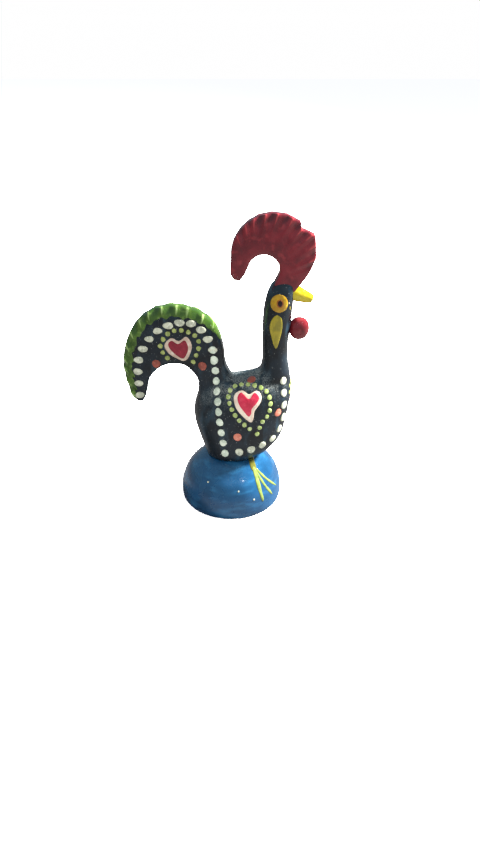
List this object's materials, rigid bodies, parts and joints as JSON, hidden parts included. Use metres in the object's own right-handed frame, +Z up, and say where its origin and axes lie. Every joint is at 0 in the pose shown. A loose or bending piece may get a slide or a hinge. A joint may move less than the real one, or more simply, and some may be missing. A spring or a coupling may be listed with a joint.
{
  "type": "rooster figurine",
  "caption": "Painted clay rooster ornament: stout body on a hollow bell foot, upright neck, crescent comb and tail with pinched rims, small beak and wattle.",
  "frame": {"origin": "on the table, midway between the back of the tail and the front of the comb", "axes": "+X the way the rooster faces, +Y its left side, +Z up"},
  "size_m": [0.0614, 0.0354, 0.0995],
  "materials": {
    "blue_enamel": "gloss brushed enamel paint",
    "black_enamel": "gloss brushed enamel paint",
    "green_enamel": "gloss brushed enamel paint",
    "red_enamel": "gloss brushed enamel paint",
    "yellow_enamel": "gloss brushed enamel paint",
    "pink_enamel": "gloss brushed enamel paint",
    "crimson_enamel": "gloss brushed enamel paint",
    "cream_enamel": "gloss brushed enamel paint",
    "lime_enamel": "gloss brushed enamel paint",
    "salmon_enamel": "gloss brushed enamel paint"
  },
  "bodies": {
    "root": {"foot": "blue_enamel", "body_and_neck": "black_enamel", "tail_plume": "black_enamel", "tail_frill": "green_enamel", "comb": "red_enamel", "wattle": "red_enamel", "beak": "yellow_enamel", "eyes": "yellow_enamel", "ear_lobes": "yellow_enamel", "flank_hearts": "pink_enamel", "tail_hearts": "crimson_enamel"}
  },
  "joints": []
}
